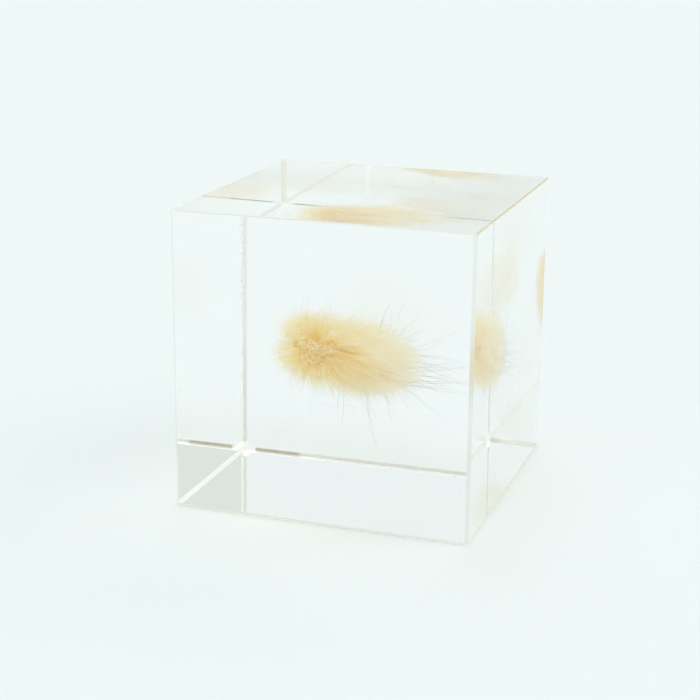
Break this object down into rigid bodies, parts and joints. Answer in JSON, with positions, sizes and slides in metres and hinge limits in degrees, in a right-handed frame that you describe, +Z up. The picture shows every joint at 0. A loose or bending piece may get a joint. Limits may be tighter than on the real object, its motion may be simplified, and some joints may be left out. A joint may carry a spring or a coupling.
{
  "type": "grass in resin cube",
  "caption": "Clear cast resin cube with a dried hare's-tail grass head sealed inside, for display and study.",
  "frame": {"origin": "centre of the cube's base, on the surface that it stands on", "axes": "+Z up, +X to the viewer's right along the front face, towards the grass head's tip; +Y away from the viewer"},
  "size_m": [0.04, 0.04, 0.04],
  "materials": {
    "clear_resin": "polished",
    "dried_seed_head": "matte",
    "dried_stem": "matte"
  },
  "bodies": {
    "root": {"resin_lower_half": "clear_resin", "resin_upper_half": "clear_resin", "seed_head": "dried_seed_head", "stalk": "dried_stem"}
  },
  "joints": []
}
